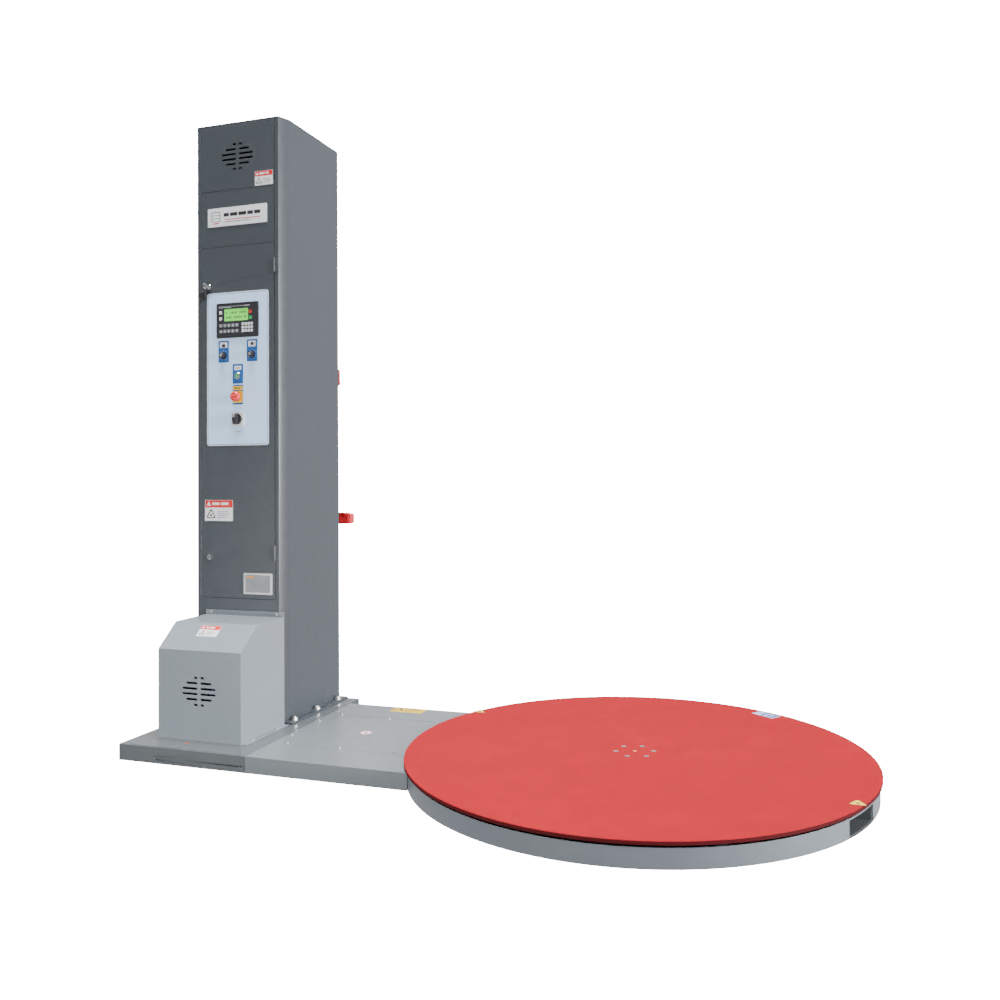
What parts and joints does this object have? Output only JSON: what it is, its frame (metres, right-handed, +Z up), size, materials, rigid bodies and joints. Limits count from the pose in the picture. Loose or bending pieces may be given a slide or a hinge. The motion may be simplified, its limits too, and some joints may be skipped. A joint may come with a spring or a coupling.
{
  "type": "turntable pallet wrapper",
  "caption": "Low round turntable joined by a flat deck to a tall mast with a control door, a motor cover at its foot and a lifting stretch-film carriage behind.",
  "frame": {"origin": "on the floor, on the turntable's axis", "axes": "+Z up, +X from the mast towards the free side of the turntable, -Y is the side the control door faces"},
  "size_m": [2.755, 1.6899, 2.568],
  "materials": {
    "mast_paint": "semi-gloss dark grey paint",
    "cover_paint": "semi-gloss light blue-grey paint",
    "deck_paint": "semi-gloss grey paint",
    "table_red": "matt red anti-slip paint",
    "arm_red": "gloss red paint",
    "steel": "plain steel",
    "zinc": "zinc plated",
    "cast": "cast, painted",
    "motor_grey": "painted motor casing",
    "chrome": "polished",
    "alu": "brushed",
    "overlay_blue": "pale printed film",
    "badge_white": "white printed plate",
    "black_plastic": "fine grain black",
    "keypad_film": "printed membrane",
    "lcd": "backlit display",
    "legend_blue": "blue legend",
    "green_button": "gloss green",
    "red_button": "gloss red",
    "switch_grey": "light grey",
    "nylon": "natural nylon",
    "film": "wound stretch film",
    "rubber": "soft tread"
  },
  "bodies": {
    "machine_frame": {"base_frame": "deck_paint", "table_pan": "deck_paint", "roller_brackets": "deck_paint", "fork_sleeves": "deck_paint", "ring_skirt": "deck_paint", "bridge_skirts": "deck_paint", "foot_plate": "deck_paint", "bridge_cover": "deck_paint", "panel_screws": "zinc", "drive_gearmotor": "motor_grey", "drive_chain": "steel", "motor_cover": "cover_paint", "mast_shell": "mast_paint", "mast_bolts": "zinc", "top_panel": "mast_paint", "name_panel": "mast_paint", "name_plate": "badge_white", "door_hinges": "mast_paint", "control_gear": "switch_grey", "cable_gland": "black_plastic", "guide_rails": "steel", "lift_gearmotor": "motor_grey", "lift_chain": "steel"},
    "turntable": {"table_disk": "table_red", "table_hub": "cast", "table_screws": "zinc"},
    "drive_wheel": {"drive_sprocket": "steel"},
    "door_leaf": {"door": "mast_paint", "control_overlay": "overlay_blue", "hmi_housing": "black_plastic", "hmi_screen": "lcd", "hmi_keypad": "keypad_film", "legend_plates": "legend_blue", "start_bezel": "chrome", "main_switch_plate": "switch_grey", "data_plate": "alu"},
    "upper_lock_barrel": {"door_lock": "chrome", "lock_key": "zinc"},
    "lower_lock_barrel": {"lower_lock": "chrome"},
    "hanging_tag": {"key_tag": "black_plastic"},
    "left_knob": {"knob_left": "black_plastic"},
    "right_knob": {"knob_right": "black_plastic"},
    "start_plunger": {"start_button": "green_button"},
    "stop_mushroom": {"estop_button": "red_button"},
    "main_knob": {"main_switch_knob": "black_plastic"},
    "carriage": {"carriage_frame": "arm_red", "guide_shoes": "nylon", "lower_arm": "arm_red", "upper_arm": "arm_red"},
    "film_spindle": {"roll_holder": "alu", "film_roll": "film"},
    "idler": {"idler_roller": "rubber"},
    "lift_wheel_top": {"lift_sprocket_top": "steel"},
    "lift_wheel_bottom": {"lift_sprocket_bottom": "steel"},
    "roller_1": {"support_roller_1": "nylon"},
    "roller_2": {"support_roller_2": "nylon"},
    "roller_3": {"support_roller_3": "nylon"},
    "roller_4": {"support_roller_4": "nylon"},
    "roller_5": {"support_roller_5": "nylon"},
    "roller_6": {"support_roller_6": "nylon"}
  },
  "joints": [
    {"name": "table_spin", "type": "hinge", "parent": "machine_frame", "child": "turntable", "pos_m": [0, 0, 0.076], "axis": [0, 0, 1], "continuous": true},
    {"name": "drive_spin", "type": "hinge", "parent": "machine_frame", "child": "drive_wheel", "pos_m": [-1.627, -0.1, 0.044], "axis": [0, 0, 1], "continuous": true},
    {"name": "roller_1_spin", "type": "hinge", "parent": "machine_frame", "child": "roller_1", "pos_m": [0.7, 0, 0.0447], "axis": [1, 0, 0], "continuous": true},
    {"name": "roller_2_spin", "type": "hinge", "parent": "machine_frame", "child": "roller_2", "pos_m": [0.35, 0.60622, 0.0447], "axis": [0.5, 0.866, 0], "continuous": true},
    {"name": "roller_3_spin", "type": "hinge", "parent": "machine_frame", "child": "roller_3", "pos_m": [-0.35, 0.60622, 0.0447], "axis": [-0.5, 0.866, 0], "continuous": true},
    {"name": "roller_4_spin", "type": "hinge", "parent": "machine_frame", "child": "roller_4", "pos_m": [-0.7, 0, 0.0447], "axis": [-1, 0, 0], "continuous": true},
    {"name": "roller_5_spin", "type": "hinge", "parent": "machine_frame", "child": "roller_5", "pos_m": [-0.35, -0.60622, 0.0447], "axis": [-0.5, -0.866, 0], "continuous": true},
    {"name": "roller_6_spin", "type": "hinge", "parent": "machine_frame", "child": "roller_6", "pos_m": [0.35, -0.60622, 0.0447], "axis": [0.5, -0.866, 0], "continuous": true},
    {"name": "door_hinge", "type": "hinge", "parent": "machine_frame", "child": "door_leaf", "pos_m": [-1.4815, 0.0058, 1.3], "axis": [0, 0, 1], "range_deg": [0, 110]},
    {"name": "upper_lock_turn", "type": "hinge", "parent": "door_leaf", "child": "upper_lock_barrel", "pos_m": [-1.798, 0.01, 1.879], "axis": [0, 1, 0], "range_deg": [0, 90]},
    {"name": "lower_lock_turn", "type": "hinge", "parent": "door_leaf", "child": "lower_lock_barrel", "pos_m": [-1.798, 0.01, 0.738], "axis": [0, 1, 0], "range_deg": [0, 90]},
    {"name": "key_tag_swing", "type": "hinge", "parent": "upper_lock_barrel", "child": "hanging_tag", "pos_m": [-1.798, -0.028, 1.8776], "axis": [1, 0, 0], "range_deg": [-60, 20]},
    {"name": "left_knob_turn", "type": "hinge", "parent": "door_leaf", "child": "left_knob", "pos_m": [-1.726, 0.009, 1.584], "axis": [0, 1, 0], "range_deg": [-150, 150]},
    {"name": "right_knob_turn", "type": "hinge", "parent": "door_leaf", "child": "right_knob", "pos_m": [-1.588, 0.009, 1.584], "axis": [0, 1, 0], "range_deg": [-150, 150]},
    {"name": "start_press", "type": "slide", "parent": "door_leaf", "child": "start_plunger", "axis": [0, 1, 0], "range_m": [0, 0.004], "stiffness_N_per_m": 400},
    {"name": "stop_press", "type": "slide", "parent": "door_leaf", "child": "stop_mushroom", "axis": [0, 1, 0], "range_m": [0, 0.005]},
    {"name": "main_switch_turn", "type": "hinge", "parent": "door_leaf", "child": "main_knob", "pos_m": [-1.657, 0.009, 1.315], "axis": [0, 1, 0], "range_deg": [0, 90]},
    {"name": "carriage_lift", "type": "slide", "parent": "machine_frame", "child": "carriage", "axis": [0, 0, 1], "range_m": [-0.7, 0.9]},
    {"name": "lift_top_spin", "type": "hinge", "parent": "machine_frame", "child": "lift_wheel_top", "pos_m": [-1.66, 0.36, 2.42], "axis": [1, 0, 0], "continuous": true},
    {"name": "lift_bottom_spin", "type": "hinge", "parent": "machine_frame", "child": "lift_wheel_bottom", "pos_m": [-1.66, 0.36, 0.17], "axis": [1, 0, 0], "continuous": true},
    {"name": "film_spin", "type": "hinge", "parent": "carriage", "child": "film_spindle", "pos_m": [-1.79, 0.74, 1.2], "axis": [0, 0, 1], "continuous": true},
    {"name": "idler_spin", "type": "hinge", "parent": "carriage", "child": "idler", "pos_m": [-1.605, 0.57, 1.2], "axis": [0, 0, 1], "continuous": true}
  ],
  "couplings": [
    {"joint": "drive_spin", "follows": "table_spin", "ratio": 3.3758},
    {"joint": "roller_1_spin", "follows": "table_spin", "ratio": -28},
    {"joint": "roller_2_spin", "follows": "table_spin", "ratio": -28},
    {"joint": "roller_3_spin", "follows": "table_spin", "ratio": -28},
    {"joint": "roller_4_spin", "follows": "table_spin", "ratio": -28},
    {"joint": "roller_5_spin", "follows": "table_spin", "ratio": -28},
    {"joint": "roller_6_spin", "follows": "table_spin", "ratio": -28},
    {"joint": "lift_top_spin", "follows": "carriage_lift", "rad_per_m": 26.1},
    {"joint": "lift_bottom_spin", "follows": "carriage_lift", "rad_per_m": 26.1}
  ]
}
